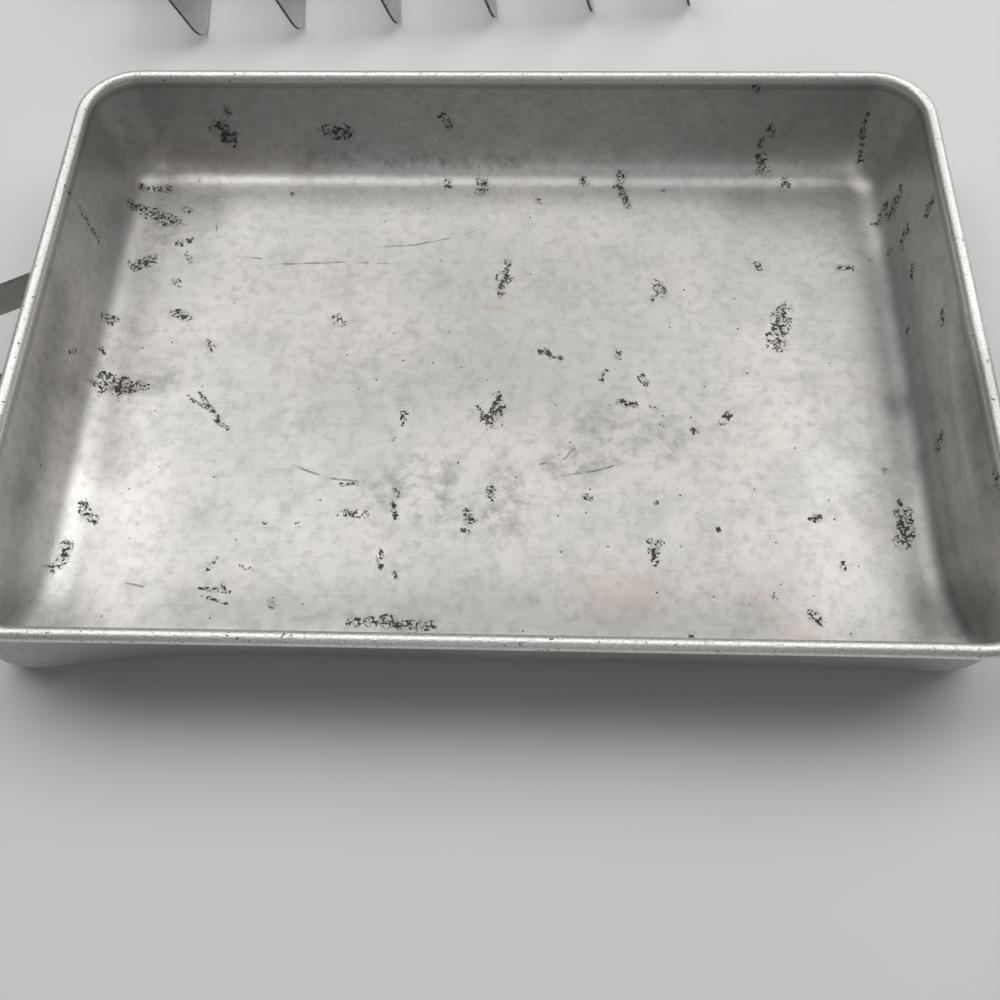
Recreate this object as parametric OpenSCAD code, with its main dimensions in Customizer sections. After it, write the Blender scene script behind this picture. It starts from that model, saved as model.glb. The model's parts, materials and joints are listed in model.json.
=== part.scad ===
// Lever ice cube tray: a drawn aluminium pan with a rolled rim and a strap handle on its left end,
// and the loose divider insert that stands behind it. Six cross fins lean in slots of the three
// long walls. Raising the lever draws a slide bar along the centre wall, and the fins swing upright.
// Millimetres. X runs along the pan, Y away from the front and Z up. The origin is the middle of
// the pan's underside.

/* [Pan] */
// Length over the rolled rim
pan_l = 278; // [240:1:320]
// Width over the rolled rim
pan_w = 197; // [150:1:240]
// Height over the rolled rim
pan_h = 40; // [36:0.5:52]
// Thickness of the pan's sheet
pan_sheet = 1; // [0.8:0.1:1.4]
// Outside diameter of the rolled rim
bead_d = 4; // [3.4:0.1:5]
// Plan radius of the rim's outer corners
corner_r = 19; // [17:0.5:28]
// Slope of the pan's walls from upright, in degrees
draft = 4.5; // [2:0.5:8]
// Inside radius between floor and wall
floor_r = 9; // [6:0.5:10]

/* [Pan handle] */
// Distance between the handle's legs where they meet the wall, outside to outside
handle_w = 44; // [36:1:60]
// How far the handle stands out from the wall
handle_out = 31; // [24:1:38]
// Slope of the legs towards each other, in degrees
handle_leg = 24; // [8:1:26]
// Height of the strap
handle_h = 10.5; // [8:0.5:16]
// Thickness of the strap
handle_t = 1.6; // [1.2:0.1:2.4]
// Length of each foot along the wall
handle_foot = 11; // [8:0.5:16]
// Distance from the rim's top down to the strap's top edge
handle_drop = 6; // [5:0.5:9]

/* [Insert] */
// Thickness of the fins
fin_t = 1; // [0.8:0.1:1.4]
// How far the fins and walls stay below the rim when the insert is in the pan
rim_drop = 6; // [4:0.5:9]
// Height of the fins' lower edges over the walls' lower edges
fin_lift = 0.5; // [0.3:0.1:1]
// Lean of the fins with the lever down, in degrees
fin_tilt = 18; // [10:1:20]
// Height of the line about which a fin rocks
fin_pivot_z = 1.5; // [1:0.25:3]
// Height of the halving joints between fins and walls
halving_z = 16; // [12:0.5:18]
// Thickness of the centre wall
centre_t = 1.2; // [1:0.1:1.6]
// Thickness of the side walls
side_t = 1; // [0.8:0.1:1.4]
// Distance from the centre wall to a side wall
side_y = 46; // [38:1:54]
// Gap between the insert and the pan's walls
insert_gap = 0.8; // [0.5:0.1:1.5]
// Side clearance of a wall in a fin's notch
notch_gap = 0.3; // [0.2:0.05:0.4]
// Clearance each side of a fin in its slots
slot_gap = 0.35; // [0.3:0.05:0.5]

/* [Slide bar] */
// Thickness of the slide bar's sheet
bar_t = 1; // [0.8:0.1:1.2]
// Gap between the slide bar and what it runs on
bar_gap = 0.3; // [0.2:0.05:0.4]
// Height of a fin's hooks, which hang in the slide bar
hook_h = 4; // [3:0.25:5]

/* [Lever] */
// Length of the lever from its pivot to the root of its lip
lever_l = 138; // [90:1:150]
// Width of the grip
lever_w = 15; // [12:0.5:18]
// Length of the lip that the fingers lift
lip_l = 11; // [8:0.5:14]
// Slope of the lip, in degrees
lip_rise = 24; // [10:1:40]
// Thickness of the lever's sheet
lever_t = 1.2; // [1:0.1:1.4]
// Depth of the grip's channel
lever_h = 7.2; // [6:0.2:9]
// Diameter of the two rivets
rivet_d = 3; // [2.4:0.1:3.4]
// Diameter of the rivets' heads
rivet_head_d = 5.6; // [5:0.1:6]
// Thickness of the rivets' heads
rivet_head_t = 1; // [0.8:0.1:1.4]
// Metal left between the drive rivet's arc and the wall's top edge
arc_land = 2; // [1.5:0.25:3]
// How far the lever's pivot stands from the middle of its cell
pivot_shift = 4; // [3:0.5:5]

/* [End ties] */
// Width of the ties that join the walls' ends
tie_w = 11; // [8:0.5:12]
// Thickness of the ties
tie_t = 1.2; // [1:0.1:1.6]
// Length of the tenons on the walls
tenon_l = 6; // [4:0.5:7]

/* [Place of the insert] */
// Middle of the insert, along the pan
insert_x = -31.6; // [-60:1:60]
// Middle of the insert, behind the pan's middle
insert_y = 254.7; // [230:1:300]
// Turn of the insert on the table, in degrees
insert_yaw = 4.9; // [-10:0.1:10]

/* [Hidden] */
$fn = 64;
eps = 0.01;
cells = 7;
fins = cells - 1;

// The pan's section, measured outwards from the centre of a corner.
axis_x = pan_l / 2 - corner_r;
axis_y = pan_w / 2 - corner_r;
bead_z = pan_h - bead_d / 2;
function wall_in(z) = corner_r - bead_d - (bead_z - z) * tan(draft);
bend_z = pan_sheet + floor_r;
bend_x = wall_in(bend_z) - floor_r / cos(draft);
bend_out = floor_r + pan_sheet;

// Room for the insert, at a height above the pan's floor.
function room_x(z) = axis_x + wall_in(z + pan_sheet) - insert_gap;
function room_y(z) = axis_y + wall_in(z + pan_sheet) - insert_gap;
plate_r = floor_r + 1;

// The fins and what moves them.
fin_h = pan_h - pan_sheet - rim_drop;
wall_h = fin_h;
pitch = 2 * room_x(wall_h) / cells;
function fin_x(i) = (i - (fins + 1) / 2) * pitch;
slot_w = (fin_t / 2 + slot_gap) / cos(fin_tilt);
slot_top = halving_z + 0.5;
drive_z = fin_h - 0.5;
travel = (drive_z - fin_pivot_z) * tan(fin_tilt);
bar_in = centre_t / 2 + bar_gap;
bar_out = bar_in + bar_t;
bar_under = wall_h + bar_gap;
hook_z = fin_h - hook_h;
hook_low = fin_pivot_z + (hook_z - fin_pivot_z) * cos(fin_tilt);
window_z = hook_low - fin_t / 2 * sin(fin_tilt) - 0.3;
bar_low = window_z - 2;
cut_z = bar_low - 1.2;
cut_y = bar_out + bar_gap;
bar_end = 9;
rivet_r = rivet_d / 2;
slack = 0.35;
snug = 0.03;
guide_z = window_z + rivet_r + slack;
function guide_x(i) = fin_x(i) + (pitch - travel) / 2;

// The lever turns a right angle about its pivot, and the drive rivet passes over the pivot.
crank = travel / (2 * sin(45));
pivot_x = (fin_x(fins - 1) + fin_x(fins)) / 2 - pivot_shift;
pivot_z = wall_h - arc_land - rivet_r - slack - crank;
drive_dx = crank * sin(45);
drive_dz = crank * cos(45);
cheek_in = bar_out + bar_gap;
cheek_out = cheek_in + lever_t;
lever_low = fin_pivot_z + (fin_h - fin_pivot_z) * cos(fin_tilt) + fin_t / 2 * sin(fin_tilt) + 0.3;
lever_top = lever_low + lever_h;
boss_r = rivet_r + 2.6;
web_x = bar_under + bar_t - pivot_z + 2 * bar_gap;
taper_l = 18;

// The handle's nose is an arc that runs into the slanted legs.
handle_half = handle_w / 2 - handle_t / 2;
handle_nose = (handle_half * cos(handle_leg) - (handle_out - handle_t / 2) * sin(handle_leg))
    / (1 - sin(handle_leg));
handle_cx = handle_out - handle_t / 2 - handle_nose;

aluminium = [0.72, 0.72, 0.70];
dull = [0.62, 0.62, 0.60];
bright = [0.80, 0.80, 0.79];

// Pan

// Section of the wall: floor bend, sloping wall and rolled rim, with its open seam under the curl.
module pan_section() {
    centre = [bend_x, bend_z];
    along = [cos(draft), -sin(draft)];
    top_in = [wall_in(bead_z), bead_z];
    top_out = top_in + [pan_sheet / cos(draft), 0];
    rim = top_in + [bead_d / 2, 0];
    difference() {
        union() {
            intersection() {
                translate(centre) circle(bend_out);
                polygon([centre, centre + [2 * bend_out, 1], [bend_x + 2 * bend_out, -1], [bend_x, -1]]);
            }
            polygon([centre, centre + bend_out * along, top_out, top_in]);
        }
        translate(centre) circle(floor_r);
        polygon([centre, centre + floor_r * along, top_in, top_in - [2, 0], centre - [2, 0]]);
    }
    translate([bend_x - 1, 0]) square([1 + eps, pan_sheet]);
    difference() {
        translate(rim) circle(bead_d / 2);
        translate(rim) circle(bead_d / 2 - pan_sheet * 0.8);
        translate(top_out - [0, bead_d]) square([0.7, bead_d]);
    }
}

module pan_floor() {
    linear_extrude(pan_sheet) {
        square([2 * axis_x, 2 * (axis_y + bend_x)], center = true);
        square([2 * (axis_x + bend_x), 2 * axis_y], center = true);
        for (sx = [-1, 1], sy = [-1, 1]) translate([sx * axis_x, sy * axis_y]) circle(bend_x);
    }
}

module pan() {
    color(aluminium) {
        pan_floor();
        for (side = [0, 1]) {
            mirror([0, side, 0]) translate([0, axis_y, 0])
                rotate([90, 0, 90]) linear_extrude(2 * axis_x, center = true) pan_section();
            mirror([side, 0, 0]) translate([axis_x, 0, 0])
                rotate([90, 0, 0]) linear_extrude(2 * axis_y, center = true) pan_section();
        }
        for (i = [0:3])
            translate([(i == 0 || i == 3 ? 1 : -1) * axis_x, (i < 2 ? 1 : -1) * axis_y, 0])
                rotate(90 * i) rotate_extrude(angle = 90) pan_section();
    }
}

// Plan of the handle's strap: two feet on the wall, two slanted legs and a round nose. X is outwards.
module handle_plan() {
    t = handle_t;
    leg_end_x = handle_cx + handle_nose * sin(handle_leg);
    leg_l = leg_end_x / cos(handle_leg);
    for (s = [0, 1]) mirror([0, s]) {
        translate([0, handle_half - t / 2]) square([t, handle_foot]);
        translate([t / 2, handle_half]) circle(t / 2);
        intersection() {
            translate([0, handle_half]) rotate(-handle_leg) translate([-t, -t / 2]) square([leg_l + t, t]);
            square([handle_out, handle_w]);
        }
    }
    intersection() {
        translate([handle_cx, 0]) difference() {
            circle(handle_nose + t / 2);
            circle(handle_nose - t / 2);
        }
        polygon([
            [handle_cx, 0],
            [handle_cx + 2 * handle_w * sin(handle_leg), 2 * handle_w * cos(handle_leg)],
            [2 * handle_w + handle_cx, 2 * handle_w],
            [2 * handle_w + handle_cx, -2 * handle_w],
            [handle_cx + 2 * handle_w * sin(handle_leg), -2 * handle_w * cos(handle_leg)]]);
    }
}

// The strap stands square to the sloping wall, with its feet flat on the wall's outer face.
module pan_handle() {
    top_z = pan_h - handle_drop;
    face_x = axis_x + wall_in(top_z) + pan_sheet / cos(draft);
    color(dull) mirror([1, 0, 0]) translate([face_x, 0, top_z]) rotate([0, draft, 0])
        translate([0, 0, -handle_h]) linear_extrude(handle_h) handle_plan();
}

// Insert

module place_insert() {
    translate([insert_x, insert_y, 0]) rotate(insert_yaw) children();
}

// Outline of a plate with sloping ends and round lower corners, between two heights.
module plate_outline(half_low, slope, low, high, r) {
    centre = [half_low + (low + r) * tan(slope) - r / cos(slope), low + r];
    tangent = centre + r * [cos(slope), -sin(slope)];
    half_high = half_low + high * tan(slope);
    polygon([
        [-centre[0], low], [centre[0], low], tangent, [half_high, high],
        [-half_high, high], [-tangent[0], tangent[1]]]);
    for (s = [-1, 1]) translate([s * centre[0], centre[1]]) circle(r);
}

// The room that a fin sweeps in a wall as it swings from its lean to upright.
module swing_slot() {
    lean = tan(fin_tilt);
    polygon([
        [-slot_w, -1], [slot_w + (fin_pivot_z + 1) * lean, -1], [slot_w, fin_pivot_z], [slot_w, slot_top],
        [-slot_w - (slot_top - fin_pivot_z) * lean, slot_top], [-slot_w, fin_pivot_z]]);
}

module wall_outline() {
    plate_outline(room_x(0), draft, 0, wall_h, plate_r);
    for (s = [-1, 1]) translate([s * tie_x() - tenon_l / 2, wall_h - 1]) square([tenon_l, 1 + tie_t + 0.4]);
}

module wall_plate(t) {
    rotate([90, 0, 0]) linear_extrude(t, center = true) difference() {
        wall_outline();
        for (i = [1:fins]) translate([fin_x(i), 0]) swing_slot();
        children();
    }
}

// Arc in which the drive rivet swings over the pivot.
module drive_arc() {
    r = rivet_r + slack;
    intersection() {
        difference() {
            circle(crank + r);
            circle(crank - r);
        }
        polygon([[0, 0], [-3 * crank, 3 * crank], [3 * crank, 3 * crank]]);
    }
    for (s = [-1, 1]) translate([s * drive_dx, drive_dz]) circle(r - 2 * eps);
}

module centre_wall() {
    color(aluminium) place_insert() wall_plate(centre_t) {
        translate([pivot_x, pivot_z]) {
            circle(rivet_r + 0.05);
            drive_arc();
        }
        for (i = [1, 3]) translate([guide_x(i), guide_z]) circle(rivet_r + snug);
    }
}

module side_wall(side) {
    color(aluminium) place_insert() translate([0, side * side_y, 0]) wall_plate(side_t);
}

function tie_x() = room_x(wall_h) - 5 - tie_w / 2;

// A strap over the ends of the three walls, with their tenons staked through it.
module end_tie(side) {
    reach = side_y + 5;
    gap = 0.15;
    color(dull) place_insert() translate([side * tie_x(), 0, wall_h]) linear_extrude(tie_t) difference() {
        union() {
            square([tie_w, 2 * (reach - tie_w / 2)], center = true);
            for (s = [-1, 1]) translate([0, s * (reach - tie_w / 2)]) circle(tie_w / 2);
        }
        square([tenon_l + 2 * gap, centre_t + 2 * gap], center = true);
        for (s = [-1, 1]) translate([0, s * side_y]) square([tenon_l + 2 * gap, side_t + 2 * gap], center = true);
    }
}

module notch(y, half, low, high) {
    translate([y - half, low]) square([2 * half, high - low]);
}

// One cross fin, upright on its lower edge, with a notch for each long wall and two hooks at the centre.
module fin_plate() {
    slope = atan(tan(draft) * cos(fin_tilt));
    rotate([90, 0, 90]) linear_extrude(fin_t, center = true) difference() {
        plate_outline(room_y(0), slope, fin_lift, fin_h, plate_r);
        notch(0, centre_t / 2 + notch_gap, halving_z, fin_h + 1);
        notch(0, cut_y, cut_z, hook_z);
        for (s = [-1, 1]) notch(s * side_y, side_t / 2 + notch_gap, halving_z, fin_h + 1);
    }
}

module fin(i) {
    color(bright) place_insert() translate([fin_x(i), 0, fin_pivot_z]) rotate([0, -fin_tilt, 0])
        translate([0, 0, -fin_pivot_z]) fin_plate();
}

// Window in the slide bar where one fin's hook hangs: upright on the left, sloping on the right.
module hook_window() {
    lean = tan(fin_tilt);
    polygon([
        [-slot_w - 0.3, window_z], [slot_w + (drive_z - window_z) * lean, window_z],
        [slot_w + 0.3, drive_z], [slot_w + 0.3, bar_under], [-slot_w - 0.3, bar_under]]);
}

// A channel that rides on the centre wall. Its apron at the lever takes the two rivets.
module slide_bar() {
    left = fin_x(1) - travel - bar_end;
    right = fin_x(fins) - travel + bar_end;
    r = rivet_r + slack;
    apron_l = [pivot_x - travel - r - 3, pivot_z - r - 2];
    apron_w = travel + 2 * r + 6;
    color(dull) place_insert() {
        translate([left, -bar_out, bar_under]) cube([right - left, 2 * bar_out, bar_t]);
        for (s = [-1, 1]) translate([0, s * (bar_in + bar_t / 2), 0])
            rotate([90, 0, 0]) linear_extrude(bar_t, center = true) difference() {
                union() {
                    translate([left, bar_low]) square([right - left, bar_under + bar_t - bar_low]);
                    translate(apron_l) square([apron_w, bar_under - apron_l[1]]);
                }
                for (i = [1:fins]) translate([fin_x(i) - travel, 0]) hook_window();
                translate([pivot_x, pivot_z]) {
                    circle(r);
                    translate([-travel, -r]) square([travel, 2 * r]);
                    translate([-travel, 0]) circle(r);
                }
                for (i = [1, 3]) translate([guide_x(i), guide_z]) {
                    circle(r);
                    translate([-travel, -r]) square([travel, 2 * r]);
                    translate([-travel, 0]) circle(r);
                }
                translate([pivot_x - drive_dx, 0]) {
                    translate([0, pivot_z + drive_dz]) circle(r);
                    translate([0, pivot_z + crank]) circle(r);
                    translate([-r, pivot_z + drive_dz]) square([2 * r, crank - drive_dz]);
                }
            }
    }
}

// Lever

// Plan of the lever about its pivot: narrow at the pivot, then a taper and a wide grip to the left.
module lever_plan(inset) {
    neck = cheek_out - inset;
    grip = lever_w / 2 - inset;
    end = lever_l + (inset > 0 ? 1 : 0);
    polygon([
        [2 * boss_r, -neck], [2 * boss_r, neck], [-web_x, neck], [-web_x - taper_l, grip], [-end, grip],
        [-end, -grip], [-web_x - taper_l, -grip], [-web_x, -neck]]);
}

// Side view of the lever: the channel, and the boss that reaches down to the rivets.
module lever_side() {
    top = lever_top - pivot_z;
    low = lever_low - pivot_z;
    nose = 5;
    difference() {
        union() {
            translate([-lever_l, low]) square([lever_l + boss_r - nose, top - low]);
            translate([boss_r - nose, top - nose]) circle(nose);
            translate([-boss_r, 0]) square([2 * boss_r, top - nose]);
            circle(boss_r);
            translate([-drive_dx, drive_dz]) circle(boss_r);
            translate([-drive_dx - boss_r, drive_dz]) square([2 * boss_r, low - drive_dz + 1]);
        }
        translate([-lever_l, low]) difference() {
            translate([-1, -1]) square([nose + 1, nose + 1]);
            translate([nose, nose]) circle(nose);
        }
    }
}

module lever_lip() {
    half = lever_w / 2 - 1;
    translate([-lever_l, 0, lever_top - pivot_z - lever_t]) rotate([0, lip_rise, 0])
        linear_extrude(lever_t) {
            translate([half - lip_l, -half]) square([lip_l - half, 2 * half]);
            translate([half - lip_l, 0]) circle(half);
        }
}

// A channel open underneath. Its top ends short of the pivot, so that it clears the bar when upright.
module lever() {
    top = lever_top - pivot_z;
    deep = 2 * boss_r;
    color(bright) place_insert() translate([pivot_x, 0, pivot_z]) {
        difference() {
            intersection() {
                translate([0, 0, -deep]) linear_extrude(top + deep) lever_plan(0);
                rotate([90, 0, 0]) linear_extrude(2 * lever_w, center = true) lever_side();
            }
            translate([0, 0, -deep]) linear_extrude(top + deep - lever_t) lever_plan(lever_t);
            translate([-web_x, -cheek_in, -deep]) cube([web_x + 2 * deep, 2 * cheek_in, top + 2 * deep]);
            rotate([90, 0, 0]) cylinder(r = rivet_r + snug, h = 4 * cheek_out, center = true);
            translate([-drive_dx, 0, drive_dz]) rotate([90, 0, 0])
                cylinder(r = rivet_r + snug, h = 4 * cheek_out, center = true);
        }
        lever_lip();
    }
}

// A rivet along Y with a low coned head against the outer face at each end.
module rivet(x, z, half) {
    color(dull) place_insert() translate([x, 0, z]) rotate([90, 0, 0]) {
        cylinder(r = rivet_r, h = 2 * half + 2 * eps, center = true);
        for (s = [0, 1]) mirror([0, 0, s]) translate([0, 0, half])
            cylinder(r1 = rivet_head_d / 2, r2 = rivet_head_d / 2 - rivet_head_t * 0.6, h = rivet_head_t);
    }
}

pan();
pan_handle();
centre_wall();
side_wall(-1);  // front_side_wall
side_wall(1);  // back_side_wall
end_tie(-1);  // left_end_tie
end_tie(1);  // right_end_tie
slide_bar();
lever();
rivet(guide_x(1), guide_z, cut_y);  // left_guide_rivet
rivet(guide_x(3), guide_z, cut_y);  // middle_guide_rivet
rivet(pivot_x, pivot_z, cheek_out);  // pivot_rivet
rivet(pivot_x - drive_dx, pivot_z + drive_dz, cheek_out);  // drive_rivet
for (i = [1:fins]) fin(i);
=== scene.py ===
# %% [markdown]
# # A lever ice cube tray in worn aluminium
# The tray is two loose things: a shallow drawn pan, used for years until its floor is pitted and
# stained, and the divider insert that stands on the table behind it. The engineering model gives
# every piece at its real size, and this lesson gives them their surfaces. We load that model first,
# with a helper that reads the box of one part. Nothing that is added later may reach outside it.

# %% Load the model
import json
import math

import bmesh
import bpy
import numpy as np
from mathutils import Matrix, Vector
from mathutils.bvhtree import BVHTree


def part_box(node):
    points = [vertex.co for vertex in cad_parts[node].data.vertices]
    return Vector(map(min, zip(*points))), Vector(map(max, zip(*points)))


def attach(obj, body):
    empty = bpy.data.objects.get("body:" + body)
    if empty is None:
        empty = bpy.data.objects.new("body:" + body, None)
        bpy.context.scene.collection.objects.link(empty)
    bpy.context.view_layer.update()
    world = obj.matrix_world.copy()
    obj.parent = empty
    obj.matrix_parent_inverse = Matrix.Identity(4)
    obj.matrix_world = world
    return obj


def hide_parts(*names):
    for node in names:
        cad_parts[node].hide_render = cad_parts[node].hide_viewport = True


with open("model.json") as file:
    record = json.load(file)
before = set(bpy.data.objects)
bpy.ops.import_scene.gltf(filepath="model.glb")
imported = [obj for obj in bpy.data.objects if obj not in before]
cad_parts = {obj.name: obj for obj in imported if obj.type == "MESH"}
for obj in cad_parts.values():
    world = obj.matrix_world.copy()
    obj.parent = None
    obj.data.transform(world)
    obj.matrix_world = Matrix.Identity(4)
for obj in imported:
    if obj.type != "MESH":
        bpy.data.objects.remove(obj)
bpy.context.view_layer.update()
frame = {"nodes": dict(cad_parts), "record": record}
bpy.ops.object.select_all(action="DESELECT")
MM = 0.001

# %% [markdown]
# ## The camera
# The photograph was taken by hand from just in front of the pan, looking steeply down. Its place
# and turn were found by fitting the straight lines of the rim, so here they are plain numbers. A
# focal length as wide as the sensor means that 1000 pixels span one focal length, which makes
# it simple to turn a pixel into a line of sight: that is how marks seen in the photograph will be
# put on the metal later.

# %% Put the camera where the photograph was taken
EYE = Vector((10.4, -170.4, 276.1)) * MM
LOOK_DOWN = math.radians(64.6)
TURN = math.radians(-3.8)
ROLL = math.radians(2.64)
FRAME_PX = 1000
SENSOR_MM = 36

ahead = Vector((
    math.sin(TURN) * math.cos(LOOK_DOWN), math.cos(TURN) * math.cos(LOOK_DOWN), -math.sin(LOOK_DOWN)))
level = Vector((math.cos(TURN), -math.sin(TURN), 0))
steep = ahead.cross(level)
to_right = math.cos(ROLL) * level + math.sin(ROLL) * steep
to_bottom = math.cos(ROLL) * steep - math.sin(ROLL) * level

camera_data = bpy.data.cameras.new("camera")
camera_data.lens = SENSOR_MM
camera_data.sensor_width = SENSOR_MM
camera_data.clip_start = 0.01
camera = bpy.data.objects.new("camera", camera_data)
bpy.context.scene.collection.objects.link(camera)
camera_turn = Matrix((to_right, -to_bottom, -ahead)).transposed().to_4x4()
camera.matrix_world = Matrix.Translation(EYE) @ camera_turn
bpy.context.scene.camera = camera
print("camera at", [round(part / MM) for part in EYE], "mm, looking down", round(math.degrees(LOOK_DOWN), 1))


def sight(px, py):
    """The line of sight through a pixel of the 1000 by 1000 photograph."""
    half = FRAME_PX / 2
    return (ahead + to_right * (px - half) / FRAME_PX + to_bottom * (py - half) / FRAME_PX).normalized()


# %% [markdown]
# ## Materials by arithmetic
# A finish is a sum of masks: where the metal is pitted, where it is stained, where it is scratched.
# Dozens of Math nodes say that badly and Python says it well, so a small class wraps a socket and
# lets us write `1 - pits * 0.8`. Everything else goes through one method that adds a node, sets
# its options, and fills its sockets with numbers or links.

# %% Socket arithmetic
MIX_FIRST, MIX_SECOND, MIX_RESULT = 6, 7, 2


class Value:
    """A number that varies over a surface: an output socket that takes part in sums."""

    def __init__(self, finish, socket):
        self.finish = finish
        self.socket = socket

    def _math(self, operation, *others, clamp=False):
        inputs = dict(enumerate((self,) + others))
        return self.finish.node("ShaderNodeMath", {"operation": operation, "use_clamp": clamp}, inputs)

    def __add__(self, other):
        return self._math("ADD", other)

    def __sub__(self, other):
        return self._math("SUBTRACT", other)

    def __rsub__(self, other):
        return (self * -1) + other

    def __mul__(self, other):
        return self._math("MULTIPLY", other)

    __radd__ = __add__
    __rmul__ = __mul__

    def clamp(self):
        return self._math("ADD", 0, clamp=True)

    def size(self):
        return self._math("ABSOLUTE")

    def larger(self, other):
        return self._math("MAXIMUM", other)

    def step(self, low, high):
        """0 below low, 1 above high, and a smooth rise between; high under low turns it round."""
        inputs = {"Value": self, "From Min": low, "From Max": high}
        return self.finish.node("ShaderNodeMapRange", {"interpolation_type": "SMOOTHSTEP"}, inputs)


class Finish:
    """A material being built around one Principled shader."""

    def __init__(self, name, metallic=1.0, **fixed):
        self.material = bpy.data.materials.new(name)
        self.material.use_nodes = True
        self.tree = self.material.node_tree
        self.shader = self.tree.nodes["Principled BSDF"]
        self.set("Metallic", metallic)
        for socket, value in fixed.items():
            self.set(socket.replace("_", " ").title(), value)

    def node(self, kind, settings=None, inputs=None, out=0):
        made = self.tree.nodes.new(kind)
        for name, value in (settings or {}).items():
            setattr(made, name, value)
        for key, value in (inputs or {}).items():
            socket = made.inputs[key]
            if isinstance(value, Value):
                self.tree.links.new(value.socket, socket)
            else:
                socket.default_value = value
        return Value(self, made.outputs[out])

    def set(self, name, value):
        if isinstance(value, Value):
            self.tree.links.new(value.socket, self.shader.inputs[name])
        else:
            self.shader.inputs[name].default_value = value

    def place(self, scale=(1, 1, 1), turn=(0, 0, 0)):
        """Where a point is on the object, in metres, stretched and turned for a pattern."""
        at = self.node("ShaderNodeTexCoord", out="Object")
        return self.node("ShaderNodeMapping", inputs={"Vector": at, "Scale": scale, "Rotation": turn})

    def noise(self, size_mm, detail=2, rough=0.5, where=None, warp=0.0):
        """Cloudy noise whose blots are about size_mm across, centred on 0.5."""
        inputs = {
            "Vector": where or self.place(), "Scale": 1 / (size_mm * MM),
            "Detail": detail, "Roughness": rough, "Distortion": warp}
        return self.node("ShaderNodeTexNoise", inputs=inputs)

    def height_mm(self):
        """How high a point of the object lies."""
        at = self.node("ShaderNodeTexCoord", out="Object")
        return self.node("ShaderNodeSeparateXYZ", inputs={"Vector": at}, out="Z") * 1000

    def dots(self, spacing_mm, radius_mm, share):
        """Lone round dots: one at the heart of each cell, kept in a share of the cells."""
        cells = {"Vector": self.place(), "Scale": 1 / (spacing_mm * MM)}
        centre = self.node("ShaderNodeTexVoronoi", inputs=cells, out="Distance")
        chance = self.node("ShaderNodeTexVoronoi", inputs=cells, out="Color")
        draw = self.node("ShaderNodeSeparateColor", inputs={"Color": chance}, out="Red")
        kept = draw.step(share, share - 0.01)
        size = radius_mm / spacing_mm
        return centre.step(size, size * 0.6) * kept

    def facing(self, direction):
        """1 where the surface looks along a direction or against it, 0 where it lies across."""
        inputs = {0: self.node("ShaderNodeTexCoord", out="Normal"), 1: direction}
        return self.node("ShaderNodeVectorMath", {"operation": "DOT_PRODUCT"}, inputs, out="Value").size()

    def mark(self, name):
        """A number painted on the mesh's points."""
        return self.node("ShaderNodeAttribute", {"attribute_name": name}, out="Fac")

    def mix(self, factor, first, second):
        """A colour between two colours."""
        inputs = {"Factor": factor, MIX_FIRST: first, MIX_SECOND: second}
        settings = {"data_type": "RGBA", "clamp_factor": True}
        return self.node("ShaderNodeMix", settings, inputs, out=MIX_RESULT)

    def shade(self, colour, factor):
        """A colour made lighter or darker by a factor that varies."""
        return self.node("ShaderNodeVectorMath", {"operation": "SCALE"}, {0: colour, "Scale": factor})

    def bump(self, height, depth_mm):
        inputs = {"Height": height, "Distance": depth_mm * MM, "Strength": 1.0}
        self.set("Normal", self.node("ShaderNodeBump", inputs=inputs))


def grey(level, warmth=0.0):
    """A metal's colour: an even grey, a little red and less blue when it is warm."""
    return (level * (1 + warmth), level, level * (1 - 1.6 * warmth), 1)


print("a grey of level 0.5 that is a little warm:", [round(part, 3) for part in grey(0.5, 0.02)])

# %% [markdown]
# ## The table
# The photograph shows a pale, smooth table top that runs past all four edges. A large plane with a
# barely clouded, rough finish is enough. It is staging and no part of the tray.

# %% Table
bpy.ops.mesh.primitive_plane_add(size=6)
table = bpy.context.object
table.name = "table"
table_top = Finish("table_top", metallic=0.0, roughness=0.6)
table_grey = table_top.noise(90, detail=3)
table_top.set("Base Color", table_top.mix(table_grey, (0.855, 0.86, 0.875, 1), (0.885, 0.89, 0.905, 1)))
table.data.materials.append(table_top.material)
print("table top:", table.name)

# %% [markdown]
# ## The light
# Metal shows its surroundings, so light from several sides matters more here than on a matt thing.
# The floor of the pan mirrors bright panels behind and above, the walls mirror a dim room, and the
# near wall throws a soft shadow towards us. The photograph doesn't show the room. These six panels
# are a stand-in: their places were tried out, and their strengths were fitted until the brightness
# came near the photograph's. A faint, even world keeps the dark sides from going black.

# %% Lamps and world
LIGHT_AT = Vector((0, 0.1, 0))


def lamp(name, turn, height, away, size, radiance, tint=(1.0, 0.985, 0.96)):
    """A soft panel: degrees right of straight behind, degrees up, metres away, size and brightness."""
    turn, height = math.radians(turn), math.radians(height)
    towards = Vector((math.sin(turn) * math.cos(height), math.cos(turn) * math.cos(height), math.sin(height)))
    data = bpy.data.lights.new(name, "AREA")
    data.shape = "RECTANGLE"
    data.size, data.size_y = size
    data.energy = radiance * math.pi * size[0] * size[1]
    data.color = tint
    made = bpy.data.objects.new(name, data)
    made.location = LIGHT_AT + towards * away
    made.rotation_euler = (-towards).to_track_quat("-Z", "Y").to_euler()
    bpy.context.scene.collection.objects.link(made)


lamp("left_window", -54, 57, 1.2, (1.0, 0.7), 1.95)
lamp("right_window", 57, 56, 1.2, (1.0, 0.65), 2.35)
lamp("low_window_on_the_right", 58, 28, 1.3, (1.3, 0.35), 1.4)
lamp("pale_wall_on_the_left", -90, 66, 1.2, (0.5, 0.4), 1.2)
lamp("ceiling", -28, 78, 1.2, (0.6, 0.5), 1.75)
lamp("bright_room_in_front", 180, 36, 1.25, (0.7, 0.7), 0.65)

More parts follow.
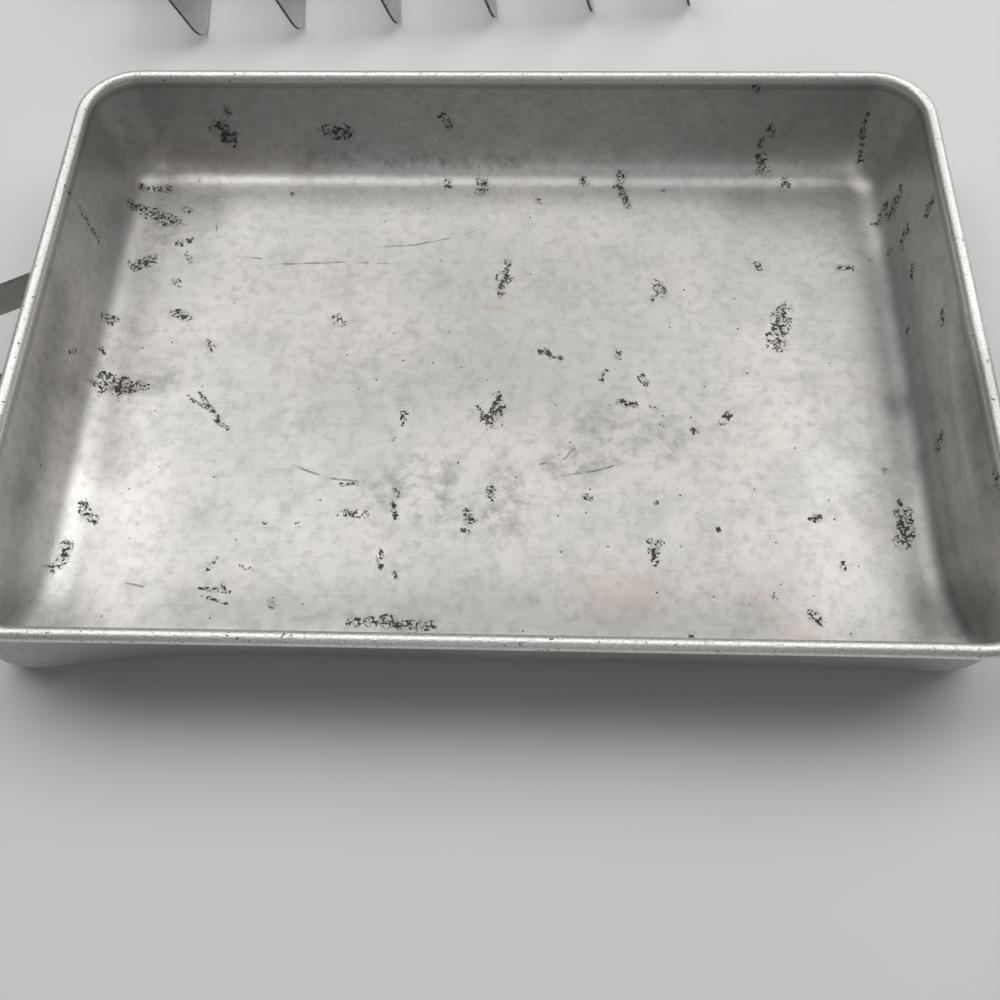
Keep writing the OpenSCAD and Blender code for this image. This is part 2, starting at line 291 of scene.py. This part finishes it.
world = bpy.data.worlds.new("room")
world.use_nodes = True
world.node_tree.nodes["Background"].inputs["Color"].default_value = (0.04, 0.042, 0.045, 1)
bpy.context.scene.world = world
bpy.context.scene.view_settings.view_transform = "Standard"
print("lamps:", [data.name for data in bpy.data.lights])

# %% [markdown]
# ## The pan's section
# A drawn pan has the same section all the way round: flat floor, a bend, a wall that leans out a
# little and a rim that is curled over. So the section is worked out first, from the sizes that
# the engineering model has, as a run of points from the floor's middle to the end of the curl.

# %% Sizes of the pan
low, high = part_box("pan")
PAN_L, PAN_W, PAN_H = high - low
SHEET = 1.0 * MM
BEAD_R = 2.0 * MM
CORNER_R = 19.0 * MM
FLOOR_R = 9.0 * MM
DRAFT = math.radians(4.5)
AXIS = Vector((PAN_L / 2 - CORNER_R, PAN_W / 2 - CORNER_R, 0))
BEAD_Z = PAN_H - BEAD_R
BEND_STEPS = 9
WALL_STEPS = 9
CURL_STEPS = 14
CURL_END = math.radians(-98)


def wall_at(z):
    """How far the wall's inner face lies outside the corner's axis at a height."""
    return CORNER_R - 2 * BEAD_R - (BEAD_Z - z) * math.tan(DRAFT)


def arc(centre, radius, start, end, steps):
    angles = [start + (end - start) * i / steps for i in range(steps + 1)]
    return [(centre[0] + radius * math.cos(a), centre[1] + radius * math.sin(a)) for a in angles]


bend_z = SHEET + FLOOR_R
bend_x = wall_at(bend_z) - FLOOR_R / math.cos(DRAFT)
floor_run = [(0, SHEET), (bend_x / 2, SHEET)]
bend_run = arc((bend_x, bend_z), FLOOR_R, -math.pi / 2, -DRAFT, BEND_STEPS)
wall_top = Vector((wall_at(BEAD_Z), BEAD_Z))
wall_run = [tuple(Vector(bend_run[-1]).lerp(wall_top, i / WALL_STEPS)) for i in range(1, WALL_STEPS)]
curl_run = arc((wall_top[0] + BEAD_R, BEAD_Z), BEAD_R, math.pi, CURL_END, CURL_STEPS)
profile = floor_run + bend_run + wall_run + curl_run
print("points in the profile:", len(profile))
print("box of the pan in mm:", [round(v / MM, 1) for v in (PAN_L, PAN_W, PAN_H)])

# %% [markdown]
# ## A quarter of the pan
# Such a pan is usually pressed from one flat sheet between a punch and a die. A modeller could
# bevel a box, but the curl and the leaning corners come out better when the section is pulled
# point by point, spun a quarter turn at a corner and pulled straight along half a side. That makes
# a quarter of the pan, and two mirrors will make the rest.

# %% Draw the profile, spin the corner and pull the sides
SPIN_STEPS = 14


def choose(test):
    """Select the points of the mesh in edit mode that pass a test on their place."""
    mesh = bmesh.from_edit_mesh(bpy.context.object.data)
    for face in mesh.faces:
        face.select = False
    for edge in mesh.edges:
        edge.select = False
    for vert in mesh.verts:
        vert.select = bool(test(vert.co))
    mesh.select_mode = {"VERT"}
    mesh.select_flush_mode()
    bmesh.update_edit_mesh(bpy.context.object.data)


def pull(offset):
    bpy.ops.mesh.extrude_region_move(TRANSFORM_OT_translate={"value": offset})


bpy.ops.mesh.primitive_plane_add(size=SHEET)
pan_shell = bpy.context.object
pan_shell.name = "pan_shell"
bpy.ops.object.mode_set(mode="EDIT")
bpy.ops.mesh.select_mode(type="VERT")
bpy.ops.mesh.select_all(action="SELECT")
bpy.ops.mesh.merge(type="CENTER")
bpy.ops.transform.translate(value=AXIS + Vector((profile[0][0], 0, profile[0][1])))
for (r0, z0), (r1, z1) in zip(profile, profile[1:]):
    pull((r1 - r0, 0, z1 - z0))
bpy.ops.mesh.select_all(action="SELECT")
bpy.ops.mesh.spin(steps=SPIN_STEPS, angle=-math.pi / 2, center=AXIS, axis=(0, 0, 1))
tiny = 0.01 * MM
mesh = bmesh.from_edit_mesh(pan_shell.data)
turned = max(v.co.y for v in mesh.verts) > AXIS.y + bend_x
print("the corner turns towards the back:", turned)
choose(lambda co: abs(co.x - AXIS.x) < tiny and co.y > AXIS.y - tiny)
pull((-AXIS.x, 0, 0))
choose(lambda co: abs(co.y - AXIS.y) < tiny and co.x > AXIS.x - tiny)
pull((0, -AXIS.y, 0))
choose(lambda co: abs(co.y - AXIS.y) < tiny and co.x < AXIS.x + tiny)
pull((0, -AXIS.y, 0))
bpy.ops.mesh.select_all(action="SELECT")
bpy.ops.mesh.remove_doubles(threshold=tiny)

# %% [markdown]
# ## An even grid and four quarters
# Dents, and marks that are painted on points, need points to hold them. Cutting the quarter by
# evenly spaced planes gives the long sides and the floor an even grid without touching the
# corner, which the spin has already divided.

# %% Grid, mirrors and one sound shell
GRID = 3.0 * MM
for axis, direction in ((0, (1, 0, 0)), (1, (0, 1, 0))):
    pieces = round(AXIS[axis] / GRID)
    for i in range(1, pieces):
        at = Vector((0, 0, 0))
        at[axis] = AXIS[axis] * i / pieces
        bpy.ops.mesh.select_all(action="SELECT")
        bpy.ops.mesh.bisect(plane_co=at, plane_no=direction)
bpy.ops.object.mode_set(mode="OBJECT")
bpy.ops.object.modifier_add(type="MIRROR")
mirror = pan_shell.modifiers[-1]
mirror.use_axis = (True, True, False)
mirror.merge_threshold = tiny
bpy.ops.object.modifier_apply(modifier=mirror.name)
bpy.ops.object.mode_set(mode="EDIT")
bpy.ops.mesh.select_all(action="SELECT")
bpy.ops.mesh.remove_doubles(threshold=tiny)
bpy.ops.mesh.normals_make_consistent(inside=False)
mesh = bmesh.from_edit_mesh(pan_shell.data)
middle_face = min(mesh.faces, key=lambda face: face.calc_center_median().length)
if middle_face.normal.z < 0:
    bpy.ops.mesh.flip_normals()
bpy.ops.object.mode_set(mode="OBJECT")
print("faces of the sheet before its thickness:", len(pan_shell.data.polygons))

# %% [markdown]
# ## Dents
# The right wall has been knocked in below the rim, the front wall is pushed back between its
# corners, and both front corners stand out at the foot. The depths follow the outline that the
# photograph shows from its one camera, so how a dent looks from the side is a guess. Each is a
# soft push: a direction, a depth, and how quickly it fades away from its middle. Moving the points
# of the bare sheet, before it gets its thickness, bends both sides of the metal together.

# %% Push the walls
points = np.empty(len(pan_shell.data.vertices) * 3)
pan_shell.data.vertices.foreach_get("co", points)
points = points.reshape(-1, 3)


def push(centre_mm, reach_mm, move_mm):
    """Move the points near a place: the move fades out as a bell over its reach along X, Y and Z."""
    away = (points - np.array(centre_mm) * MM) / (np.array(reach_mm) * MM)
    fade = np.exp(-0.5 * (away ** 2).sum(axis=1))
    points[:] = points + fade[:, None] * np.array(move_mm) * MM


def push_right_wall():
    push((136, -24, 28), (6, 20, 4), (-2.4, 0, 0))
    push((135.5, 1, 32), (4, 4, 3), (-1.4, 0, 0))
    push((134, -60, 22), (7, 18, 8), (-1.2, 0, 0))


def push_front_wall():
    push((-60, -94, 12), (34, 9, 10), (0, 1.0, 0))
    push((40, -94, 10), (60, 9, 10), (0, 0.8, 0))
    push((-122, -92, 8), (18, 12, 11), (0, -2.9, 0))
    push((-133, -88, 8), (8, 8, 11), (-6.3, -4.5, 0))
    push((138, -84, 9), (9, 9, 14), (4.5, -3.2, 0))
    push((140, -97, 36), (11, 9, 24), (2.4, -0.8, 0))


push_right_wall()
push_front_wall()
pan_shell.data.vertices.foreach_set("co", points.ravel())
pan_shell.data.update()
print("points of the dented sheet:", len(points))

# %% [markdown]
# ## Where the marks are
# The real floor has scores of pits. The larger ones were read off the photograph as pixels,
# and the line of sight through such a pixel meets the metal about where the mark lies. A mark is
# two pixels and a width, and a scratch is a chain of pixels.
#
# The painted highlights and painted shade are of another kind. Each is a soft patch in which the
# metal's colour is made lighter or darker, by a share that was tuned until the render came near the
# photograph's brightness. They are light and shade painted into the colour, standing in for the
# reflections of a room that the lamps only roughly replace, most strongly along the bends. They stay
# on the metal when the view changes, where real reflections would move, so a scene with a well
# measured room would do without them.

# %% Marks by pixel
PITS = {
    "back wall": [
        ((220, 126), (231, 139), 9), ((226, 109), (229, 114), 4), ((332, 132), (345, 134), 10),
        ((443, 116), (448, 124), 5), ((757, 86), (757, 90), 4), ((771, 127), (770, 135), 4),
        ((762, 139), (760, 147), 3), ((760, 156), (761, 170), 6), ((868, 112), (862, 132), 2),
        ((862, 132), (860, 162), 2.5)],
    "left wall": [
        ((80, 208), (98, 240), 3), ((69, 190), (71, 194), 3), ((75, 350), (70, 353), 3),
        ((43, 566), (48, 566), 2)],
    "right wall": [
        ((899, 193), (890, 214), 7), ((886, 206), (878, 222), 5), ((933, 200), (926, 214), 5),
        ((907, 230), (902, 243), 6), ((912, 265), (912, 278), 5), ((889, 250), (889, 253), 3),
        ((942, 312), (942, 322), 4), ((908, 327), (907, 334), 2), ((940, 438), (938, 447), 7),
        ((996, 470), (997, 484), 5), ((899, 501), (901, 505), 2), ((903, 516), (906, 540), 9)],
    "back bend": [
        ((448, 182), (449, 187), 4), ((483, 180), (481, 192), 5), ((583, 180), (584, 183), 4),
        ((621, 175), (618, 188), 5), ((622, 190), (628, 206), 4), ((663, 190), (665, 191), 2.5),
        ((538, 200), (541, 202), 3), ((785, 181), (786, 186), 4), ((292, 193), (293, 195), 2)],
    "left floor": [
        ((142, 187), (168, 190), 4.5), ((131, 205), (143, 209), 5.5), ((152, 213), (173, 222), 7.5),
        ((185, 209), (190, 211), 3), ((180, 243), (190, 240), 4), ((137, 266), (150, 260), 7),
        ((188, 254), (190, 262), 2.5), ((176, 281), (179, 285), 3), ((174, 313), (186, 317), 4.5),
        ((104, 316), (114, 320), 5), ((209, 340), (211, 350), 3.5), ((112, 384), (126, 388), 9),
        ((103, 377), (121, 391), 7), ((129, 381), (147, 387), 4), ((94, 383), (102, 390), 4),
        ((101, 349), (104, 352), 2.5), ((83, 502), (86, 515), 5),
        ((90, 518), (96, 522), 4), ((67, 546), (64, 556), 5), ((60, 562), (52, 570), 3.5)],
    "middle floor": [
        ((508, 262), (500, 294), 4), ((502, 276), (509, 278), 6), ((337, 317), (342, 324), 5),
        ((497, 398), (489, 424), 6), ((486, 418), (500, 408), 7), ((404, 412), (402, 424), 3.5),
        ((392, 441), (396, 439), 2), ((342, 485), (358, 484), 3), ((345, 512), (364, 514), 4),
        ((341, 515), (343, 516), 3), ((393, 503), (396, 518), 3), ((399, 495), (394, 489), 2),
        ((379, 552), (381, 565), 4), ((394, 572), (396, 578), 2.5), ((297, 523), (298, 526), 2.5),
        ((264, 522), (266, 523), 2), ((271, 600), (272, 606), 3), ((390, 620), (412, 628), 6),
        ((350, 621), (432, 626), 5), ((491, 489), (494, 499), 5), ((466, 512), (472, 519), 4.5),
        ((462, 530), (468, 533), 3), ((223, 580), (224, 590), 2), ((205, 571), (214, 566), 1.5)],
    "gouges": [
        ((188, 396), (200, 405), 2), ((200, 392), (211, 415), 2.5), ((206, 404), (227, 429), 2.5),
        ((209, 566), (218, 558), 2), ((198, 588), (232, 592), 2), ((204, 596), (226, 604), 2),
        ((240, 566), (252, 570), 1.5), ((600, 378), (607, 370), 2), ((476, 404), (488, 420), 2)],
    "right floor": [
        ((542, 351), (552, 357), 5), ((558, 357), (561, 359), 3), ((617, 351), (619, 358), 3),
        ((604, 372), (602, 381), 2.5), ((641, 378), (646, 384), 4), ((620, 402), (634, 404), 4),
        ((608, 406), (611, 407), 2), ((650, 406), (655, 408), 3), ((661, 423), (663, 425), 2),
        ((692, 429), (695, 432), 3), ((722, 423), (728, 414), 4), ((586, 496), (590, 498), 3.5),
        ((655, 502), (657, 503), 2), ((648, 541), (662, 543), 3), ((654, 550), (655, 562), 4.5),
        ((718, 528), (719, 531), 2.5), ((812, 521), (820, 516), 4), ((843, 564), (844, 567), 2.5),
        ((657, 285), (662, 292), 6), ((652, 300), (655, 296), 3), ((757, 264), (759, 268), 3),
        ((783, 310), (776, 345), 8), ((838, 268), (850, 268), 4), ((774, 596), (775, 598), 3),
        ((812, 614), (822, 622), 4.5), ((691, 635), (692, 637), 2.5), ((884, 469), (885, 472), 2)],
}
SCRATCHES = [
    [(376, 247), (415, 245), (450, 238), (477, 230), (497, 217)],
    [(230, 255), (258, 258), (287, 264), (345, 262), (411, 264)],
    [(213, 195), (216, 214), (217, 234)],
    [(289, 462), (305, 470), (328, 478), (355, 481), (381, 485)],
    [(560, 476), (595, 471), (628, 462)],
    [(187, 395), (199, 403), (210, 416), (218, 424), (226, 429)],
    [(202, 392), (208, 402), (217, 413)],
    [(124, 583), (136, 585), (146, 588)],
    [(520, 470), (545, 463), (565, 459), (572, 450), (586, 446)],
]
CLOUDS = [((600, 430), (660, 440), 26), ((560, 460), (640, 450), 20), ((420, 470), (440, 480), 20),
    ((500, 470), (520, 500), 16), ((110, 385), (165, 385), 14), ((160, 230), (150, 260), 14),
    ((380, 490), (500, 520), 22), ((300, 158), (520, 160), 9), ((350, 622), (430, 626), 9)]
STAINS = [((138, 232), (146, 244), 12), ((155, 160), (330, 170), 10), ((860, 385), (866, 392), 9),
    ((868, 522), (868, 530), 12), ((600, 580), (640, 590), 30), ((780, 600), (800, 620), 26),
    ((150, 172), (180, 176), 8), ((500, 300), (500, 310), 6)]
# Each patch is light or shade painted into the colour: a gain above 0 is a painted highlight, below 0 is
# painted shade.
PAINTED_LIGHT_PATCHES = {
    "painted shade on the left wall": [((60, 300), (28, 480), 18, -0.34), ((18, 500), (14, 560), 16, -0.25)],
    "painted highlight on the left bend": [((62, 582), (84, 500), 19, 0.75), ((78, 470), (100, 400), 12, 0.15)],
    "left of the floor": [((135, 420), (122, 570), 26, 0.27)],
    "foot of the back wall": [((150, 177), (850, 173), 10, 0.75), ((250, 206), (700, 202), 16, 0.5),
        ((230, 232), (700, 230), 20, 0.16)],
    "painted shade in the middle": [((330, 385), (500, 385), 45, -0.12), ((600, 430), (700, 430), 40, -0.08)],
    "painted shade at the near edge": [((190, 612), (760, 622), 24, -0.2)],
    "near right": [((830, 470), (850, 600), 26, 0.2), ((884, 560), (896, 610), 14, 0.15)],
    "right bend": [((856, 220), (860, 250), 10, -0.15), ((877, 265), (899, 400), 9, -0.45),
        ((900, 405), (912, 455), 9, -0.4), ((917, 470), (932, 540), 8, -0.4),
        ((937, 560), (958, 622), 10, -0.35), ((928, 600), (958, 638), 15, -0.4)],
    "painted shade on the right wall": [((982, 380), (992, 600), 22, -0.3)],
}
print("marks:", sum(len(marks) for marks in PITS.values()), "pits,", len(SCRATCHES), "scratches")

# %% [markdown]
# ## From pixels to metal
# A ray from the camera through each pixel stops where it meets the dented sheet. How far it went
# also tells how wide one pixel is there, which turns a mark's width into a length. A mark whose ray
# misses the pan is left out and named.

# %% Cast the marks onto the metal
sheet_tree = BVHTree.FromPolygons(
    [tuple(v.co) for v in pan_shell.data.vertices], [tuple(p.vertices) for p in pan_shell.data.polygons])


def cast(pixel):
    """The place on the pan that a pixel of the photograph shows, and how long one pixel is there."""
    hit, _, _, distance = sheet_tree.ray_cast(EYE, sight(*pixel))
    return hit, (distance or 0) / FRAME_PX


def on_metal(mark):
    """A mark as two ends and a width in metres, or nothing where it misses the pan."""
    ends = [cast(pixel) for pixel in mark[:2]]
    if any(hit is None for hit, _ in ends):
        print("misses the pan:", mark)
        return None
    return np.array(ends[0][0]), np.array(ends[1][0]), mark[2] * ends[0][1]


def distance_to(points, start, end):
    """How far points are from a straight line, and how far along it they lie, from 0 to 1."""
    line = end - start
    along = np.clip(((points - start) @ line) / max(line @ line, 1e-12), 0, 1)
    return np.linalg.norm(points - start - along[:, None] * line, axis=1), along


pits = [on_metal(mark) for marks in PITS.values() for mark in marks]
pits = [pit for pit in pits if pit]
scratches = [[cast(pixel)[0] for pixel in line] for line in SCRATCHES]
scratches = [[np.array(point) for point in line] for line in scratches if all(line)]
print("on the metal:", len(pits), "pits and", len(scratches), "scratches")

# %% [markdown]
# ## Points where they are needed
# A point of the mesh has to lie on a mark to carry it, so the grid is made finer just there, twice
# over and each time nearer to the mark. The rest of the sheet is smooth and keeps its coarse grid.

# %% Finer grid at the marks
FINE_ROUND_MARK = 1.5 * MM


def near_marks(centres, extra):
    near = np.zeros(len(centres), bool)
    for start, end, width in pits:
        near |= distance_to(centres, start, end)[0] < width * 1.2 + extra
    for line in scratches:
        for start, end in zip(line, line[1:]):
            near |= distance_to(centres, start, end)[0] < FINE_ROUND_MARK
    return near


for extra in (2.0 * MM, 1.0 * MM):
    bpy.ops.object.mode_set(mode="EDIT")
    bpy.ops.mesh.select_mode(type="FACE")
    mesh = bmesh.from_edit_mesh(pan_shell.data)
    centres = np.array([face.calc_center_median() for face in mesh.faces])
    for face, near in zip(mesh.faces, near_marks(centres, extra)):
        face.select = bool(near)
    mesh.select_flush(True)
    bmesh.update_edit_mesh(pan_shell.data)
    bpy.ops.mesh.subdivide(number_cuts=1)
    bpy.ops.object.mode_set(mode="OBJECT")
    print("faces of the sheet:", len(pan_shell.data.polygons))

# %% [markdown]
# ## Marks as numbers on the points
# Each kind of mark becomes one number on every point: 1 on a pit and 0 away from it, the share by
# which a painted highlight lightens or painted shade darkens the colour, or the distance to a scratch.
# The finish reads the numbers and breaks them up with noise, so that soft spots end up as ragged pits and
# fine lines.

# %% Paint the marks on the points
MARK_REACH = 1.6
DARKEST, LIGHTEST = -0.6, 0.8
points = np.empty(len(pan_shell.data.vertices) * 3)
pan_shell.data.vertices.foreach_get("co", points)
points = points.reshape(-1, 3)


def paint(name, values):
    layer = pan_shell.data.attributes.new(name, "FLOAT", "POINT")
    layer.data.foreach_set("value", values.astype(np.float32))


def soft_marks(marks):
    """1 on a mark's line, falling to 0 at its width."""
    value = np.zeros(len(points))
    for start, end, width in marks:
        value = np.maximum(value, 1 - distance_to(points, start, end)[0] / (width * MARK_REACH))
    return np.clip(value, 0, 1)


def tones():
    """By which share the metal's colour is lightened as a painted highlight (or, below 0, darkened as painted
    shade), in soft patches.
    """
    value = np.zeros(len(points))
    for start, end, width, gain in sum(PAINTED_LIGHT_PATCHES.values(), []):
        mark = on_metal((start, end, width))
        value += gain * np.exp(-0.5 * (distance_to(points, *mark[:2])[0] / mark[2]) ** 2)
    return np.clip(value, DARKEST, LIGHTEST)


def signed_scratches():
    """The distance to the nearest scratch in mm, signed by its side, and a weight that fades at its ends."""
    nearest = np.full(len(points), 9.0)
    side = np.full(len(points), 9.0)
    weight = np.zeros(len(points))
    for line in scratches:
        lengths = [np.linalg.norm(b - a) for a, b in zip(line, line[1:])]
        done = 0.0
        for (start, end), length in zip(zip(line, line[1:]), lengths):
            away, along = distance_to(points, start, end)
            away = away / MM
            turn = np.cross(end - start, points - start)[:, 2]
            closer = away < nearest
            nearest = np.where(closer, away, nearest)
            side = np.where(closer, away * np.sign(turn), side)
            through = (done + along * length) / sum(lengths)
            fade = np.clip(np.minimum(through, 1 - through) * 6, 0, 1) * (away < 1.2)
            weight = np.where(closer, fade, weight)
            done += length
    return np.clip(side, -6, 6), weight


scratch_side, scratch_weight = signed_scratches()
paint("pits", soft_marks(pits))
paint("clouds", soft_marks([mark for mark in map(on_metal, CLOUDS) if mark]))
paint("stains", soft_marks([mark for mark in map(on_metal, STAINS) if mark]))
paint("tones", tones())
paint("scratch_side", scratch_side)
paint("scratch_weight", scratch_weight)
layers = [layer.name for layer in pan_shell.data.attributes if layer.data_type == "FLOAT"]
print("numbers on each point:", layers)

# %% [markdown]
# ## From a bare sheet to metal with two sides
# The thickness grows outward from the inner face, so everything inside the pan stays where the
# marks were cast. Solidify copies the marks to the outer side as well, where the real metal has
# none of them, so the copies are set back to 0.

# %% Give the sheet its thickness
bpy.ops.object.modifier_add(type="SOLIDIFY")
point_count = len(pan_shell.data.vertices)
solidify = pan_shell.modifiers[-1]
solidify.thickness = SHEET * 0.9
solidify.offset = -1
solidify.use_even_offset = True
bpy.ops.object.modifier_apply(modifier=solidify.name)
for name in ("pits", "clouds", "stains", "tones", "scratch_weight"):
    layer = pan_shell.data.attributes[name].data
    values = np.empty(len(layer))
    layer.foreach_get("value", values)
    values[point_count:] = 0
    layer.foreach_set("value", values)
bpy.ops.object.shade_smooth_by_angle(angle=math.radians(50))
print("triangles in the pan:", sum(len(p.vertices) - 2 for p in pan_shell.data.polygons))

# %% [markdown]
# ## Worn aluminium
# Used aluminium isn't mirror bright. It is a rough metal whose colour wanders, with clouds where
# water dried, dark pits, dark hairline scratches, and a grain so fine that it only breaks up the
# highlight. Each is a mask from noise or from the painted points, and the colour, the roughness and
# the bump read the same masks. The rim's colour is raised towards bright metal, partly rubbed wear
# and partly a painted highlight. The turn under the rim is darkened as painted shade, and soft patches
# of painted highlight and painted shade lighten and darken the colour elsewhere.

# %% Finish of the pan
worn = Finish("worn_aluminium", metallic=1.0)
broad = worn.noise(55, detail=3, rough=0.55)
cloudy = worn.noise(12, detail=5, rough=0.62, warp=0.6)
mottle = worn.noise(3.2, detail=4, rough=0.6)
grain = worn.noise(0.5, detail=2, rough=0.6)
rubbed = worn.noise(0.7, detail=2, where=worn.place(scale=(0.03, 1, 1)))

pit_place = worn.mark("pits")
lumps = worn.noise(4.5, detail=2, rough=0.5)
curls = (worn.noise(2.0, detail=1, warp=0.7) - 0.5).size()
crumbs = worn.noise(1.3, detail=2, warp=0.4)
body = (pit_place + (lumps - 0.5) * 1.5).step(0.28, 0.42) * pit_place.step(0.0, 0.12)
curled = (pit_place * 0.04 + 0.010 - curls).step(0.0, 0.02)
pitted = body * curled.larger((crumbs + pit_place * 0.10).step(0.61, 0.67))
halo = pit_place.step(0.05, 0.9) * (cloudy * 0.5 + mottle * 0.5).step(0.40, 0.62)
specks = worn.dots(4.6, 0.34, 0.5) * broad.step(0.35, 0.55)
flecks = worn.noise(1.0, detail=3, rough=0.7).step(0.56, 0.70) * cloudy.step(0.36, 0.60)
height = worn.height_mm()
rim = height.step(35.4, 36.8)
# painted shade under the curl of the rim, found by height
painted_shade_under_rim = height.step(38.0, 36.9) * height.step(34.9, 36.0)
nicks = worn.noise(1.1, detail=3, rough=0.65, warp=0.5).step(0.655, 0.70) * rim
scratch = worn.mark("scratch_side").size().step(0.30, 0.10) * worn.mark("scratch_weight")
scratch = scratch * worn.noise(4, detail=3).step(0.38, 0.58)
cloud = worn.mark("clouds").step(0, 0.8) * (cloudy * 0.5 + mottle * 0.35 + grain * 0.35).step(0.52, 0.74)
stain = worn.mark("stains").step(0, 0.9) * cloudy.step(0.35, 0.6)

clean = worn.mix(broad.step(0.3, 0.7), grey(0.53, 0.004), grey(0.61, 0.026))
clean = worn.mix(cloudy.step(0.45, 0.75) * 0.55, clean, grey(0.45, 0.010))
clean = worn.mix(mottle.step(0.42, 0.74) * 0.55, clean, grey(0.40, 0.012))
clean = worn.mix(rubbed.step(0.45, 0.7) * 0.08, clean, grey(0.80, 0.01))
# the rim's colour is raised near bright metal: partly rubbed wear, partly a painted highlight
clean = worn.mix(rim * 0.9, clean, grey(0.96, 0.012))
clean = worn.mix(rim * grain.step(0.45, 0.68) * 0.45, clean, grey(0.50, 0.012))
# painted shade: the colour under the rim's curl is darkened where shade falls
clean = worn.mix(painted_shade_under_rim * 0.6, clean, grey(0.24, 0.02))
# painted highlight and painted shade: the colour is scaled by the painted patches of light and shade
clean = worn.shade(clean, worn.mark("tones") + 1)
clean = worn.mix(cloud * 0.42, clean, grey(0.34, 0.01))
clean = worn.mix(flecks * 0.42, clean, grey(0.24, 0.02))
clean = worn.mix(stain * 0.28, clean, (0.56, 0.45, 0.37, 1))
clean = worn.mix(halo * 0.42, clean, grey(0.30, 0.02))
clean = worn.mix(scratch * 0.5, clean, grey(0.16, 0.02))
dark = pitted.larger(specks).larger(nicks).clamp()
worn.set("Base Color", worn.mix(dark * 0.92, clean, grey(0.06, 0.05)))
worn.set("Roughness", (0.44 + cloudy * 0.08 + cloud * 0.08 + dark * 0.3 + mottle * 0.05 - rim * 0.03).clamp())
worn.set("Metallic", 0.93 - dark * 0.5)
grained = grain * (rim * 0.8 + 0.25)
worn.bump(grained + mottle * 0.5 - dark * 1.6 - scratch * 1.2 + cloudy * 0.6, 0.12)
pan_shell.data.materials.clear()
pan_shell.data.materials.append(worn.material)
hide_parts("pan")
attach(pan_shell, "pan")

# %% [markdown]
# ## The other metal pieces
# The handle, the dividers and the lever already have the right shape in the engineering model, so
# they keep it and only get their finish. They are sheet metal too: a brushed grain along X, a few
# clouds and darker specks. The cut edges of the fins and the handle's upward edge are dark and
# pitted, as the photograph shows, and are told from the faces by the way they look. Of the insert
# the photograph shows six corners, so the finish of its other pieces is a guess.


# %% Finish of the sheet pieces
def sheet_finish(name, level, warmth, rough, edges=None):
    """Brushed sheet; edges is a direction and the two slopes between which the dark cut edges begin."""
    finish = Finish(name, metallic=1.0)
    brushed = finish.noise(0.6, detail=3, where=finish.place(scale=(0.04, 1, 1)))
    cloudy = finish.noise(14, detail=4, rough=0.6, warp=0.5)
    specks = finish.noise(1.3, detail=2).step(0.70, 0.74)
    colour = finish.mix(cloudy.step(0.35, 0.7), grey(level, warmth), grey(level * 0.84, warmth))
    colour = finish.mix(brushed.step(0.3, 0.7) * 0.12, colour, grey(level * 0.7, warmth))
    if edges:
        edge = finish.facing(edges[0]).step(*edges[1:])
        crumbs = finish.noise(0.9, detail=3, rough=0.7)
        colour = finish.mix(edge * crumbs.step(0.15, 0.45), colour, grey(0.13, 0.02))
        specks = specks.larger(edge * crumbs.step(0.5, 0.65))
    colour = finish.mix(specks * 0.8, colour, grey(0.08, 0.03))
    finish.set("Base Color", colour)
    finish.set("Roughness", (rough + cloudy * 0.12 + specks * 0.3).clamp())
    finish.bump(brushed * 0.4 + cloudy * 0.4 - specks, 0.05)
    return finish.material


fin_faces = frame["nodes"]["fin_1"].data.polygons
FIN_FACING = tuple(max(fin_faces, key=lambda face: face.area).normal)
FINISHES = {
    "handle_aluminium": sheet_finish("handle_dull", 0.49, 0.04, 0.44, ((0, 0, 1), 0.6, 0.9)),
    "frame_aluminium": sheet_finish("frame_satin", 0.74, 0.012, 0.40),
    "fin_aluminium": sheet_finish("fin_satin", 0.74, 0.010, 0.46, (FIN_FACING, 0.9, 0.6)),
    "lever_aluminium": sheet_finish("lever_brushed", 0.78, 0.012, 0.32),
    "rivet_aluminium": sheet_finish("rivet_satin", 0.70, 0.012, 0.36),
}
print("faces of a fin look along:", [round(part, 2) for part in FIN_FACING])
slot_of = {part["node"]: part["material_slot"] for part in frame["record"]["subparts"]}
for name, node in frame["nodes"].items():
    if slot_of[name] in FINISHES:
        node.data.materials.clear()
        node.data.materials.append(FINISHES[slot_of[name]])
